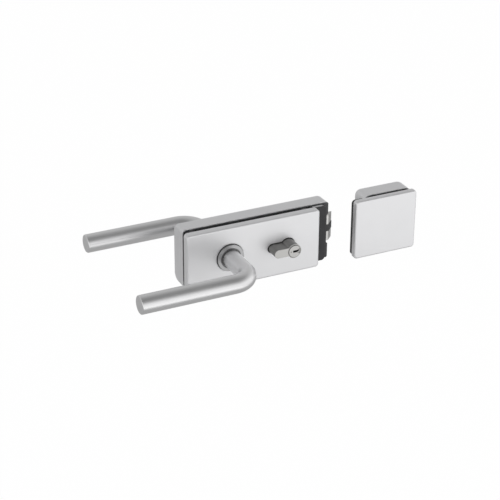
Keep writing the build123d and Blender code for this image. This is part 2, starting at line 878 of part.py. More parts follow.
save("front_plug", plug(-1, cyl_front, -cam_gap_front, -cam_mid + proud))
save("rear_plug", plug(1, cyl_rear, cam_gap_rear, cam_mid + proud))

head_low = -case_half - cyl_screw_head
cyl_screw_length = case_half + lobe_r - cyl_screw_short
cyl_screw = rod((cyl_screw_x, cam_mid, head_low), (0, 0, 1), cyl_screw_head_r, cyl_screw_head)
cyl_screw += rod((cyl_screw_x, cam_mid, -case_half), (0, 0, 1), m5[0], cyl_screw_length)
socket = Plane(origin=(cyl_screw_x, cam_mid, head_low), z_dir=(0, 0, 1)) * RegularPolygon(m5[2], 6)
cyl_screw -= extrude(socket, amount=cyl_screw_head * socket_share)
save("cylinder_screw", cyl_screw)

# Strike: front half
sy_rear_gasket = strike_glass_face
sy_front_gasket = sy_rear_gasket - strike_slot
sy_plate_back = sy_front_gasket - gasket_t
sy_plate_front = sy_plate_back - front_plate_t
sy_front_rim = sy_front_gasket - proud
sy_front_face = sy_front_rim - strike_front_depth
strike_points = [(strike_screw_x, side * strike_screw_z) for side in (-1, 1)]
strike_in_left = strike_left + shell + loose_gap
strike_in_right = strike_right - shell - loose_gap
strike_in_half = strike_half - shell - loose_gap
strike_grub_x = strike_screw_x
grub_r = m3[0] + thread_gap

s_plate = slab(
    rounded(strike_in_left, strike_in_right, strike_in_half, inner_corner),
    sy_plate_front, sy_plate_back,
)
strike_lug_t = sy_plate_front - sy_front_face - shell - loose_gap
s_plate += block(
    strike_grub_x - lug_w / 2, strike_grub_x + lug_w / 2,
    sy_plate_front - strike_lug_t, sy_plate_front,
    -strike_in_half, lug_h - strike_in_half,
)
s_plate -= [
    sunk_hole((x, sy_plate_front, z), (0, 1, 0), m5, front_plate_t + eps)
    for x, z in strike_points
]
s_grub_y = sy_plate_back - (front_plate_t + strike_lug_t) / 2
s_plate -= rod((strike_grub_x, s_grub_y, -strike_half), (0, 0, 1), grub_r, lug_h + shell)
save("strike_front_plate", s_plate)

s_gasket = slab(
    Pos((strike_gasket_left + strike_in_right) / 2, 0)
    * Rectangle(strike_in_right - strike_gasket_left, 2 * strike_in_half - 2 * inner_corner),
    sy_plate_back, sy_front_gasket,
)
s_gasket -= clamp_holes(strike_points, gasket_hole_r, sy_plate_back - eps, sy_rear_gasket)
save("strike_front_gasket", s_gasket)

s_pad = slab(
    rounded(stop_pad_inner_left, stop_pad_outer_right, strike_in_half - slide_gap, inner_corner),
    sy_plate_back, sy_front_rim + run_gap,
)
s_pad += slab(
    rounded(stop_pad_left, stop_pad_outer_right, strike_in_half, cover_corner),
    sy_front_rim + run_gap, sy_rear_gasket - stop_pad_back,
)
save("strike_stop_pad", s_pad)

s_cover = tray(
    strike_left, strike_right, strike_half, sy_front_face, sy_front_rim, cover_corner, cover_edge
)
s_pads = [(x, side * z) for x, z in zip(strike_pad_x, strike_pad_z) for side in (-1, 1)]
s_cover += clamp_holes(s_pads, pad_r, sy_front_face + shell, sy_plate_front)
s_cover -= rod(
    (strike_grub_x, s_grub_y, -strike_half - eps), (0, 0, 1), grub_r, shell + 2 * eps
)
save("strike_front_cover", s_cover)

# Strike: rear half
sy_rear_rim = sy_rear_gasket + proud
sy_base_front = sy_rear_gasket + gasket_t
sy_base_back = sy_base_front + plate_t
s_left = strike_rear_left + shell + loose_gap
s_right = strike_rear_right - shell - loose_gap
s_boss_end = sy_base_back + strike_boss_h
s_rear_corner = strike_corner - shell - loose_gap
strike_rear_outline = rounded(s_left, s_right, strike_in_half, s_rear_corner)

s_rear_gasket = slab(strike_rear_outline, sy_rear_gasket, sy_base_front)
s_rear_gasket -= clamp_holes(
    strike_points, gasket_hole_r, sy_rear_gasket - eps, sy_base_front + eps
)
save("strike_rear_gasket", s_rear_gasket)

keeper_points = [(keeper_screw_x, z) for z in keeper_screw_z]
s_base = slab(strike_rear_outline, sy_base_front, sy_base_back)
s_base += clamp_holes(strike_points, clamp_boss_r, sy_base_back, s_boss_end)
s_grub_rear_y = sy_base_back + strike_grub_up
s_base += block(
    strike_grub_x - lug_w / 2, strike_grub_x + lug_w / 2, sy_base_back, s_boss_end,
    -strike_in_half, -strike_screw_z - clamp_boss_r - slide_gap,
)
s_base -= clamp_holes(strike_points, m5[0] + thread_gap, sy_base_front - eps, s_boss_end + eps)
s_base -= clamp_holes(keeper_points, m3[0] + thread_gap, sy_base_front - eps, sy_base_back + eps)
s_base -= rod((strike_grub_x, s_grub_rear_y, -strike_half), (0, 0, 1), grub_r, lug_h + shell)
save("strike_base_plate", s_base)

keeper = block(s_left, keeper_right, sy_base_back, keeper_back, keeper_low, keeper_high)
keeper += block(
    keeper_right, keeper_right + keeper_foot, sy_base_back, sy_base_back + keeper_foot_t,
    keeper_low + keeper_foot_in, keeper_high - keeper_foot_in,
)
keeper -= block(s_left - eps, pocket_end, pocket_front, pocket_rear, pocket_low, pocket_high)
foot_top = sy_base_back + keeper_foot_t
keeper -= [
    sunk_hole((x, foot_top, z), (0, -1, 0), m3, keeper_foot_t + eps) for x, z in keeper_points
]
save("strike_keeper", keeper)
save(
    "strike_keeper_screws",
    group(
        sunk_screw((x, foot_top, z), (0, -1, 0), m3, keeper_foot_t + plate_t - slide_gap)
        for x, z in keeper_points
    ),
)

strike_radii = (strike_corner, strike_side_round, strike_top_round)
s_rear = crossed(
    strike_rear_left, strike_rear_right, strike_half, sy_rear_rim, strike_rear_face, strike_radii
)
s_rear -= crossed(
    strike_rear_left + shell, strike_rear_right - shell, strike_half - shell,
    sy_rear_rim - eps, strike_rear_face - shell, within(strike_radii),
)
s_rear += clamp_holes(strike_points, strike_post_r, s_boss_end, strike_rear_face - shell)
s_rear -= clamp_holes(strike_points, m5[0] + loose_gap, s_boss_end, s_boss_end + screw_tip_room)
s_rear -= block(
    strike_rear_left - eps, strike_rear_left + shell + eps, pocket_front, pocket_rear,
    pocket_low, pocket_high,
)
s_rear -= rod(
    (strike_grub_x, s_grub_rear_y, -strike_half - eps), (0, 0, 1), grub_r, shell + 2 * eps
)
save("strike_rear_cover", s_rear)

s_clamp_length = s_boss_end - sy_plate_front
save(
    "strike_clamp_screws",
    group(
        sunk_screw((x, sy_plate_front, z), (0, 1, 0), m5, s_clamp_length)
        for x, z in strike_points
    ),
)
save("strike_clamp_sleeves", sleeves(strike_points, sy_plate_back, sy_base_front))
save(
    "strike_cover_screws",
    group(
        grub((strike_grub_x, y, -strike_half + slide_gap), (0, 0, 1), m3, grub_length)
        for y in (s_grub_y, s_grub_rear_y)
    ),
)
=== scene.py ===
import json
import math

import bpy
from mathutils import Matrix, Vector


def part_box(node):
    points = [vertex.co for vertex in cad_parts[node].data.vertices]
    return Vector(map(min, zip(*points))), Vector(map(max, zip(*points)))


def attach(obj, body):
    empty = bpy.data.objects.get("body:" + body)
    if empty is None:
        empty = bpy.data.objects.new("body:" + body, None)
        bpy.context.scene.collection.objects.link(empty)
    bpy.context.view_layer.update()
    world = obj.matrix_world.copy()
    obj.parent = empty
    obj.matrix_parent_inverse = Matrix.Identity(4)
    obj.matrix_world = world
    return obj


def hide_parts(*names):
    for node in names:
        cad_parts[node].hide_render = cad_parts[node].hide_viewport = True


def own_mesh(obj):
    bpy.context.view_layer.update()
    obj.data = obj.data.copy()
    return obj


bl_info = {
    "name": "Glass door lever lockset",
    "version": (1, 0, 0),
    "blender": (4, 5, 0),
    "location": "3D View > Sidebar > Lockset",
    "description": "Dresses a glass door lockset: its metal finishes, levers, springs and studio",
    "category": "Object",
}

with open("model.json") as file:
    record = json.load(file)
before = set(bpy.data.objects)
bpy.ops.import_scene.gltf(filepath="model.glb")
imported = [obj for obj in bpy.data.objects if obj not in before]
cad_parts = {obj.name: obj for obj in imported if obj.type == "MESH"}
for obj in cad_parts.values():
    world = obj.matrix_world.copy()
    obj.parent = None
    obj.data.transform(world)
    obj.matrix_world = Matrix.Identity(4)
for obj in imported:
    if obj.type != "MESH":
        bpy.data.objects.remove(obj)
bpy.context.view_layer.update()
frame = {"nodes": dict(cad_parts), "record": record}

# The photograph's camera: where it stands, how it is turned in degrees, and its lens
CAMERA_PLACE = (-0.68616, -1.47594, 0.82056)
CAMERA_AZIMUTH = 25.972
CAMERA_ELEVATION = 26.712
CAMERA_ROLL = 0.422
CAMERA_LENS = 116.706

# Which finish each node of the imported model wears
WEARS = {
    "Satin steel": ["front_cover", "rear_cover", "strike_front_cover", "strike_rear_cover"],
    "Collar steel": ["front_collar", "rear_collar"],
    "Black coated plate": [
        "front_clamp_plate", "base_plate", "strike_front_plate", "strike_base_plate",
    ],
    "Zinc case": ["lock_case", "case_lid", "follower", "latch_tail"],
    "Black rubber": [
        "front_gasket", "rear_gasket", "stop_gasket", "strike_front_gasket",
        "strike_stop_pad", "strike_rear_gasket",
    ],
    "Black plastic": [
        "clamp_sleeves", "forend", "edge_block", "latch_insert", "strike_keeper",
        "strike_clamp_sleeves",
    ],
    "Satin nickel": ["latch_bolt", "dead_bolt"],
    "Cylinder nickel": ["cylinder_body"],
    "Plug nickel": ["front_plug", "rear_plug"],
    "Screw steel": [
        "clamp_screws", "lid_screws", "lid_corner_screw", "forend_screws", "edge_bracket",
        "edge_screws", "cover_screws", "cylinder_cam", "cylinder_screw", "spindle",
        "lever_grub_screws", "strike_keeper_screws", "strike_clamp_screws",
        "strike_cover_screws",
    ],
}

# Grains of the finishes, in lines or spots a metre along X, Y and Z
COVER_LINES = (60.0, 2500.0, 4500.0)
LEVER_LINES = (90.0, 1800.0, 1800.0)
TURNED_LINES = (1200.0, 200.0, 1200.0)
PLUG_GRAIN = (900.0, 900.0, 900.0)
CASE_GRAIN = (300.0, 300.0, 300.0)
SCREW_GRAIN = (700.0, 700.0, 700.0)
COAT_GRAIN = (900.0, 900.0, 900.0)
COAT_WEAR = (60.0, 60.0, 60.0)
METAL_CLOUD = (22.0, 22.0, 22.0)
DUST = (35.0, 35.0, 35.0)

# How far lines and clouds change the roughness, and how deep lines and grit are in metres
LINE_SWING = 0.16
CLOUD_SWING = 0.08
LINE_DEPTH = 0.00002
GRIT_DEPTH = 0.0001

# Between which values of the noise a cloud, dust and wear come up, and what they do to a colour
CLOUD_RISE = (0.35, 0.65)
CLOUD_SHADE = 0.97
DUST_RISE = (0.4, 0.7)
DUST_SHADE = 1.35
WEAR_RISE = (0.55, 0.8)
WEAR_SHADE = 1.6

# A faced end: between which depths the painted shade of the sides sets in, in metres, and how much
# smoother the end is
SIDE_SHADE_DEPTHS = (0.0006, 0.0001)
FACED_SMOOTHER = 0.06

# A plug: the shades of its face and joint, and how far inside the rim the joint begins and is full
PLUG_SHADE = 0.85
JOINT_SHADE = 0.25
JOINT_INSETS = (0.0009, 0.0003)

# How finely edges, levers and springs are made
BEVEL_SAMPLES = 6
BEND_STEPS = 40
BAR_SIDES = 96
STEPS_PER_TURN = 24
WIRE_SIDES = 10

# How many wire radii a coil's middle line stays inside the spring's box
WIRE_ROOM = 1.3

# The lamps: place, size and power
LAMPS = {
    "Key lamp": ((-0.6, -1.1, 1.7), 1.4, 14.0),
    "Fill lamp": ((1.6, -0.9, 0.9), 1.2, 5.0),
}
LAMPS_AIM = (0.05, 0.0, 0.0)

# The pale sheet on the floor: which way it lies, where it begins and where it grows fainter
SHEET_HEADING = (0.44, 0.9)
SHEET_START = (0.50, 0.64)
SHEET_FADE = (0.50, 0.85)
SHEET_FADE_SHARE = 0.35

# The room, by a direction's Y and Z: where front turns to rear, and where pale turns to dark
ROOM_BEHIND = (-0.1, 0.7)
ROOM_OVERHEAD = (0.25, 0.75)

# The floor: half its width in metres, its paint, and how white the camera sees it
FLOOR_HALF = 5.0
FLOOR_PAINT = (0.8, 0.8, 0.8, 1.0)
FLOOR_WHITE = 0.99
WHITE = (1.0, 1.0, 1.0, 1.0)


class Value:
    """A node's socket, on which arithmetic adds Math nodes."""

    def __init__(self, tree, socket):
        self.tree = tree
        self.socket = socket

    def maths(self, operation, *values):
        return self.tree.add("ShaderNodeMath", {"operation": operation}, *values)

    def __add__(self, other):
        return self.maths("ADD", self, other)

    def __sub__(self, other):
        return self.maths("SUBTRACT", self, other)

    def __rsub__(self, other):
        return self.maths("SUBTRACT", other, self)

    def __mul__(self, other):
        return self.maths("MULTIPLY", self, other)

    def larger(self, other):
        return self.maths("MAXIMUM", self, other)

    def within(self, low, high):
        """0 at low, 1 at high, and no further on either side."""
        return self.tree.add("ShaderNodeMapRange", {"clamp": True}, self, low, high, 0.0, 1.0)

    __radd__ = __add__
    __rmul__ = __mul__


class Tree:
    """A tree of nodes being written, one node at a time."""

    def __init__(self, tree):
        self.nodes = tree.nodes
        self.links = tree.links

    def node(self, kind, settings=None, *values, **named):
        """A node: its settings first, then the values or links of the sockets that they open.

        An underscore in a socket's name is a space, and one at its end is left off.
        """
        node = self.nodes.new(kind)
        for key, value in (settings or {}).items():
            setattr(node, key, value)
        sockets = [socket for socket in node.inputs if socket.enabled]
        by_name = {socket.name: socket for socket in sockets}
        filled = list(zip(sockets, values))
        filled += [(by_name[key.replace("_", " ").strip()], value) for key, value in named.items()]
        for socket, value in filled:
            if isinstance(value, Value):
                self.links.new(value.socket, socket)
            else:
                socket.default_value = value
        return node

    def add(self, kind, settings=None, *values, **named):
        """The first open output of a new node."""
        node = self.node(kind, settings, *values, **named)
        return Value(self, next(socket for socket in node.outputs if socket.enabled))

    def outputs(self, kind, *values):
        """All the outputs of a new node, by name."""
        node = self.node(kind, None, *values)
        return {socket.name: Value(self, socket) for socket in node.outputs}


class Finish(Tree):
    """The nodes of a material or of the world."""

    def __init__(self, owner):
        owner.use_nodes = True
        super().__init__(owner.node_tree)
        self.owner = owner
        self.nodes.clear()

    def place(self):
        return self.outputs("ShaderNodeTexCoord")["Object"]

    def axes(self):
        """The object's X, Y and Z, each as a value."""
        parts = self.outputs("ShaderNodeSeparateXYZ", self.place())
        return parts["X"], parts["Y"], parts["Z"]

    def noise(self, grain, detail=3.0):
        """Noise that is drawn out into lines along the axes with the smaller grains."""
        where = self.add("ShaderNodeMapping", Vector=self.place(), Scale=grain)
        return self.add("ShaderNodeTexNoise", Vector=where, Scale=1.0, Detail=detail)

    def mixed(self, share, first, second):
        """A colour between two others."""
        return self.add("ShaderNodeMix", {"data_type": "RGBA"}, share, first, second)

    def soft_edge(self, radius):
        """The surface's normal, rounded over a corner as a tumbled edge is."""
        return self.add("ShaderNodeBevel", {"samples": BEVEL_SAMPLES}, Radius=radius)

    def bump(self, height, strength, distance, normal):
        return self.add(
            "ShaderNodeBump", Strength=strength, Distance=distance, Height=height, Normal=normal,
        )

    def surface(self, **sockets):
        shader = self.add("ShaderNodeBsdfPrincipled", **sockets)
        self.node("ShaderNodeOutputMaterial", Surface=shader)
        return self.owner


def shade(colour, share):
    """A colour made darker or lighter, and opaque."""
    return [channel * share for channel in colour[:3]] + [1.0]


def grained_metal(name, colour, grain, roughness, depth, edge):
    """Metal with fine lines along one direction and a slight cloudiness."""
    finish = Finish(bpy.data.materials.new(name))
    lines = finish.noise(grain)
    cloud = finish.noise(METAL_CLOUD)
    clear, clouded = shade(colour, 1.0), shade(colour, CLOUD_SHADE)
    return finish.surface(
        Base_Color=finish.mixed(cloud.within(*CLOUD_RISE), clouded, clear),
        Metallic=1.0,
        Roughness=roughness + (lines - 0.5) * LINE_SWING + (cloud - 0.5) * CLOUD_SWING,
        Normal=finish.bump(lines, depth, LINE_DEPTH, finish.soft_edge(edge)),
    )


def metal_with_painted_side_shade(name, colour, ends, bright, painted_side_shade, roughness=0.38, depth=0.1, edge=0.0003):
    """Turned metal, bright and smoother at its two faced ends, with painted shade darkening its
    sides.
    """
    finish = Finish(bpy.data.materials.new(name))
    lines = finish.noise(TURNED_LINES)
    _, y, _ = finish.axes()
    front, rear = ends
    deep, shallow = SIDE_SHADE_DEPTHS
    # Painted shade: away from the faced ends the sides' colour is darkened to stand in for the
    # shade on them
    in_front = y.within(front + deep, front + shallow)
    behind = y.within(rear - deep, rear - shallow)
    faced = in_front.larger(behind)
    return finish.surface(
        Base_Color=finish.mixed(faced, shade(colour, painted_side_shade), shade(colour, bright)),
        Metallic=1.0,
        Roughness=roughness + (lines - 0.5) * LINE_SWING - faced * FACED_SMOOTHER,
        Normal=finish.bump(lines, depth, LINE_DEPTH, finish.soft_edge(edge)),
    )


def ringed_nickel(name, colour, middle, radius, roughness=0.3, depth=0.06, edge=0.0004):
    """A plug's plated face with the dark joint round its edge."""
    finish = Finish(bpy.data.materials.new(name))
    lines = finish.noise(PLUG_GRAIN)
    x, _, z = finish.axes()
    across = x - middle
    inner, outer = (radius - inset for inset in JOINT_INSETS)
    joint = (across * across + z * z).within(inner ** 2, outer ** 2)
    return finish.surface(
        Base_Color=finish.mixed(joint, shade(colour, PLUG_SHADE), shade(colour, JOINT_SHADE)),
        Metallic=1.0,
        Roughness=roughness + (lines - 0.5) * LINE_SWING,
        Normal=finish.bump(lines, depth, LINE_DEPTH, finish.soft_edge(edge)),
    )


def moulded_black(name, colour, roughness, pebble, depth, swing=0.2, edge=0.0003):
    """Matt moulded plastic or rubber with a fine pebble and a little dust in it."""
    finish = Finish(bpy.data.materials.new(name))
    pebbles = finish.noise((pebble, pebble, pebble), detail=4.0)
    dust = finish.noise(DUST).within(*DUST_RISE)
    return finish.surface(
        Base_Color=finish.mixed(dust, shade(colour, 1.0), shade(colour, DUST_SHADE)),
        Roughness=roughness + (pebbles - 0.5) * swing,
        Normal=finish.bump(pebbles, depth, GRIT_DEPTH, finish.soft_edge(edge)),
    )


def coated_plate(name, colour, roughness, duller=0.1, depth=0.15, edge=0.0002):
    """Sheet steel with a thin black coating, worn in places."""
    finish = Finish(bpy.data.materials.new(name))
    grit = finish.noise(COAT_GRAIN, detail=2.0)
    worn = finish.noise(COAT_WEAR, detail=4.0).within(*WEAR_RISE)
    return finish.surface(
        Base_Color=finish.mixed(worn, shade(colour, 1.0), shade(colour, WEAR_SHADE)),
        Roughness=roughness + worn * duller,
        Normal=finish.bump(grit, depth, GRIT_DEPTH, finish.soft_edge(edge)),
    )


def wear(material):
    """Puts a finish on all the nodes that wear it."""
    for node in WEARS[material.name]:
        slots = frame["nodes"][node].data.materials
        if not slots:
            slots.append(material)
        for index in range(len(slots)):
            slots[index] = material


class Form(Tree):
    """A Geometry Nodes tree with named inputs for its sizes."""

    def __init__(self, name):
        self.group = bpy.data.node_groups.new(name, "GeometryNodeTree")
        super().__init__(self.group)
        self.group.interface.new_socket("Result", in_out="OUTPUT", socket_type="NodeSocketGeometry")
        self.start = self.nodes.new("NodeGroupInput")

    def size(self, name, kind="NodeSocketFloat"):
        """A named input of the tree."""
        self.group.interface.new_socket(name, in_out="INPUT", socket_type=kind)
        return Value(self, self.start.outputs[name])

    def vector(self, x, y, z):
        return self.add("ShaderNodeCombineXYZ", None, x, y, z)

    def swept(self, path, radius, sides):
        """A round bar or wire of that radius along a path, with closed ends."""
        ring = self.add("GeometryNodeCurvePrimitiveCircle", Resolution=sides, Radius=radius)
        return self.add("GeometryNodeCurveToMesh", Curve=path, Profile_Curve=ring, Fill_Caps=True)

    def close(self, geometry, material):
        """Ends the tree in real geometry that wears the material."""
        real = self.add("GeometryNodeRealizeInstances", Geometry=geometry)
        worn = self.add("GeometryNodeSetMaterial", Geometry=real, Material=material)
        self.node("NodeGroupOutput", Result=worn)
        return self.group


def grown(name, tree, sizes):
    """A plain mesh object that a Geometry Nodes tree makes from named sizes."""
    holder = bpy.data.objects.new(name, bpy.data.meshes.new(name))
    bpy.context.scene.collection.objects.link(holder)
    modifier = holder.modifiers.new("Shape", "NODES")
    modifier.node_group = tree
    sockets = {s.name: s.identifier for s in tree.interface.items_tree if s.in_out == "INPUT"}
    for key, value in sizes.items():
        modifier[sockets[key]] = value
    mesh = bpy.data.meshes.new_from_object(
        holder.evaluated_get(bpy.context.evaluated_depsgraph_get())
    )
    mesh.name = name
    holder.modifiers.clear()
    holder.data = mesh
    return holder


def bent_bar(material):
    """A round bar along a neck, round a bend and out to a tip."""
    form = Form("Bent bar")
    neck = form.size("Neck start")
    axis = form.size("Bar axis")
    length = form.size("Bar length")
    bend = form.size("Bend radius")
    radius = form.size("Bar radius")
    index = form.add("GeometryNodeInputIndex")
    equal = {"data_type": "INT", "operation": "EQUAL"}
    is_first = form.add("FunctionNodeCompare", equal, A=index, B=0)
    is_third = form.add("FunctionNodeCompare", equal, A=index, B=2)
    start = form.vector(0.0, neck, 0.0)
    corner = form.vector(0.0, axis, 0.0)
    tip = form.vector(length * -1.0, axis, 0.0)
    vectors = {"input_type": "VECTOR"}
    later = form.add("GeometryNodeSwitch", vectors, Switch=is_third, False_=corner, True_=tip)
    place = form.add("GeometryNodeSwitch", vectors, Switch=is_first, False_=later, True_=start)
    line = form.add("GeometryNodeCurvePrimitiveLine")
    points = form.add("GeometryNodeResampleCurve", Curve=line, Count=3)
    path = form.add("GeometryNodeSetPosition", Geometry=points, Position=place)
    path = form.add(
        "GeometryNodeFilletCurve", {"mode": "POLY"}, Curve=path, Count=BEND_STEPS, Radius=bend,
    )
    return form.close(form.swept(path, radius, BAR_SIDES), material)


def wound_wire(material):
    """A round wire wound at an even pitch along X."""
    form = Form("Wound wire")
    turns = form.size("Turns")
    coil_radius = form.size("Coil radius")
    length = form.size("Length")
    wire_radius = form.size("Wire radius")
    place = form.size("Start", "NodeSocketVector")
    path = form.add(
        "GeometryNodeCurveSpiral", Resolution=STEPS_PER_TURN, Rotations=turns,
        Start_Radius=coil_radius, End_Radius=coil_radius, Height=length,
    )
    along_x = form.add(
        "GeometryNodeTransform", Geometry=form.swept(path, wire_radius, WIRE_SIDES),
        Translation=place, Rotation=(0.0, math.pi / 2, 0.0),
    )
    return form.close(along_x, material)


class LocksetSizes(bpy.types.PropertyGroup):
    bar_radius: bpy.props.FloatProperty(
        name="Lever bar radius", description="Half the thickness of the lever's round bar",
        default=0.0106, subtype="DISTANCE", unit="LENGTH", precision=4,
    )
    bar_length: bpy.props.FloatProperty(
        name="Lever length", description="From the spindle's axis to the lever's tip",
        default=0.1342, subtype="DISTANCE", unit="LENGTH", precision=4,
    )
    bend_radius: bpy.props.FloatProperty(
        name="Bend radius", description="Radius of the bar's middle line round the bend",
        default=0.0225, subtype="DISTANCE", unit="LENGTH", precision=4,
    )
    tip_round: bpy.props.FloatProperty(
        name="Tip rounding", description="How far the tip's edge is rounded",
        default=0.0015, subtype="DISTANCE", unit="LENGTH", precision=4,
    )
    latch_turns: bpy.props.FloatProperty(
        name="Latch spring turns", description="Turns of wire in the latch spring", default=12.0,
    )
    latch_wire: bpy.props.FloatProperty(
        name="Latch spring wire", description="Half the thickness of the latch spring's wire",
        default=0.0005, subtype="DISTANCE", unit="LENGTH", precision=4,
    )
    return_turns: bpy.props.FloatProperty(
        name="Return spring turns", description="Turns of wire in the return spring", default=17.0,
    )
    return_wire: bpy.props.FloatProperty(
        name="Return spring wire", description="Half the thickness of the return spring's wire",
        default=0.0006, subtype="DISTANCE", unit="LENGTH", precision=4,
    )


class LocksetFinishes(bpy.types.PropertyGroup):
    satin: bpy.props.FloatVectorProperty(
        name="Satin steel", description="Colour of the covers", size=4, subtype="COLOR",
        default=(0.88, 0.88, 0.89, 1.0), min=0.0, max=1.0,
    )
    lever: bpy.props.FloatVectorProperty(
        name="Lever steel", description="Colour of the levers", size=4, subtype="COLOR",
        default=(0.78, 0.78, 0.785, 1.0), min=0.0, max=1.0,
    )
    collar: bpy.props.FloatVectorProperty(
        name="Collar steel", description="Colour of the collars", size=4, subtype="COLOR",
        default=(0.44, 0.44, 0.445, 1.0), min=0.0, max=1.0,
    )
    plate: bpy.props.FloatVectorProperty(
        name="Coated plate", description="Colour of the clamp and base plates", size=4,
        subtype="COLOR", default=(0.20, 0.20, 0.205, 1.0), min=0.0, max=1.0,
    )
    nickel: bpy.props.FloatVectorProperty(
        name="Nickel", description="Colour of the cylinder, latch and bolt", size=4,
        subtype="COLOR", default=(0.58, 0.575, 0.56, 1.0), min=0.0, max=1.0,
    )
    zinc: bpy.props.FloatVectorProperty(
        name="Zinc", description="Colour of the case and the screws", size=4, subtype="COLOR",
        default=(0.55, 0.55, 0.56, 1.0), min=0.0, max=1.0,
    )
    black: bpy.props.FloatVectorProperty(
        name="Black", description="Colour of the plastic and rubber", size=4,
        subtype="COLOR", default=(0.035, 0.035, 0.037, 1.0), min=0.0, max=1.0,
    )
    satin_roughness: bpy.props.FloatProperty(
        name="Satin roughness", description="How matt the covers are", default=0.56,
        min=0.0, max=1.0, subtype="FACTOR",
    )
    lever_roughness: bpy.props.FloatProperty(
        name="Lever roughness", description="How matt the levers are", default=0.33,
        min=0.0, max=1.0, subtype="FACTOR",
    )


class LocksetStudio(bpy.types.PropertyGroup):
    floor_height: bpy.props.FloatProperty(
        name="Floor height", description="Height of the floor under the lock",
        default=-0.32, subtype="DISTANCE", unit="LENGTH",
    )
    back_grey: bpy.props.FloatProperty(
        name="Room behind", description="How bright the room behind is in the metal's reflections",
        default=0.58, min=0.0,
    )
    front_grey: bpy.props.FloatProperty(
        name="Room in front", description="How bright the room in front is in the reflections",
        default=0.26, min=0.0,
    )
    floor_grey: bpy.props.FloatProperty(
        name="Floor", description="How bright the bare floor is in the reflections",
        default=0.48, min=0.0,
    )
    sheet_white: bpy.props.FloatProperty(
        name="Pale sheet", description="How much brighter the sheet in front is", default=0.86,
        min=0.0,
    )


class LOCKSET_OT_covers(bpy.types.Operator):
    """Gives the covers and the collars their steel"""

    bl_idname = "lockset.covers"
    bl_label = "Finish the covers"

    def execute(self, context):
        looks = context.scene.lockset_finishes
        rough = looks.satin_roughness
        wear(grained_metal("Satin steel", looks.satin, COVER_LINES, rough, depth=0.12, edge=0.001))
        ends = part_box("front_collar")[0].y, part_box("rear_collar")[1].y
        # Painted shade darkens the collars' sides
        wear(metal_with_painted_side_shade("Collar steel", looks.collar, ends, bright=1.0, painted_side_shade=0.4))
        return {"FINISHED"}


class LOCKSET_OT_levers(bpy.types.Operator):
    """Makes both levers as bent round bars with rounded tips"""

    bl_idname = "lockset.levers"
    bl_label = "Make the levers"

    def execute(self, context):
        looks = context.scene.lockset_finishes
        sizes = context.scene.lockset_sizes
        steel = grained_metal(
            "Lever steel", looks.lever, LEVER_LINES, looks.lever_roughness, depth=0.1, edge=0.0002,
        )
        tree = bent_bar(steel)
        for node, side in (("front_lever", -1), ("rear_lever", 1)):
            low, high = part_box(node)
            near, far = (high.y, low.y) if side < 0 else (low.y, high.y)
            bar = grown(node + "_bar", tree, {
                "Neck start": near,
                "Bar axis": far - side * sizes.bar_radius,
                "Bar length": sizes.bar_length,
                "Bend radius": sizes.bend_radius,
                "Bar radius": sizes.bar_radius,
            })
            self.round_tip(bar, sizes.tip_round)
            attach(bar, "lever_set")
            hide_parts(node)
        return {"FINISHED"}

    def round_tip(self, bar, width):
        """Rounds the edges of a bar's flat ends and smooths the rest."""
        bar.data.polygons.foreach_set("use_smooth", [True] * len(bar.data.polygons))
        rounding = bar.modifiers.new("Tip rounding", "BEVEL")
        rounding.width = width
        rounding.segments = 5
        rounding.limit_method = "ANGLE"
        rounding.angle_limit = math.radians(60)
        flat = bar.modifiers.new("Flat ends", "WEIGHTED_NORMAL")
        flat.keep_sharp = False


class LOCKSET_OT_springs(bpy.types.Operator):
    """Winds the latch spring and the levers' return spring"""

    bl_idname = "lockset.springs"
    bl_label = "Wind the springs"

    def execute(self, context):
        sizes = context.scene.lockset_sizes
        steel = bpy.data.materials["Screw steel"]
        tree = wound_wire(steel)
        travel = self.travel()
        for node, turns, wire, held_at_right in (
            ("latch_spring", sizes.latch_turns, sizes.latch_wire, False),
            ("return_spring", sizes.return_turns, sizes.return_wire, True),
        ):
            low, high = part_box(node)
            middle = (low + high) / 2
            radius = (high.z - low.z) / 2 - wire * WIRE_ROOM
            spring = grown(node + "_coil", tree, {
                "Turns": turns,
                "Coil radius": radius,
                "Length": high.x - low.x - 2 * wire,
                "Wire radius": wire,
                "Start": (low.x + wire, middle.y, middle.z),
            })
            spring.data.polygons.foreach_set("use_smooth", [True] * len(spring.data.polygons))
            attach(spring, "lock_and_strike")
            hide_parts(node)
            kept = 1.0 - travel / (high.x - low.x)
            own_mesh(spring)
        return {"FINISHED"}

    def travel(self):
        """How far the levers draw the latch back, and so how far both springs are pressed."""
        joints = frame["record"]["behaviour"]["joints"]
        slide = next(joint for joint in joints if joint["name"] == "latch_slide")
        return slide["range_m"][1]


class LOCKSET_OT_works(bpy.types.Operator):
    """Finishes the cylinder, latch, bolt, case and screws"""

    bl_idname = "lockset.works"
    bl_label = "Finish the works"

    def execute(self, context):
        looks = context.scene.lockset_finishes
        nickel, zinc = looks.nickel, looks.zinc
        wear(grained_metal(
            "Satin nickel", nickel, TURNED_LINES, roughness=0.3, depth=0.1, edge=0.0003,
        ))
        low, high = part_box("cylinder_body")
        # Painted shade darkens the cylinder's sides
        wear(metal_with_painted_side_shade("Cylinder nickel", nickel, (low.y, high.y), bright=0.86, painted_side_shade=0.4))
        low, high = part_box("front_plug")
        middle, radius = (low.x + high.x) / 2, (high.x - low.x) / 2
        wear(ringed_nickel("Plug nickel", nickel, middle, radius))
        wear(grained_metal(
            "Zinc case", zinc, CASE_GRAIN, roughness=0.45, depth=0.1, edge=0.0002,
        ))
        wear(grained_metal(
            "Screw steel", zinc, SCREW_GRAIN, roughness=0.32, depth=0.08, edge=0.0002,
        ))
        return {"FINISHED"}


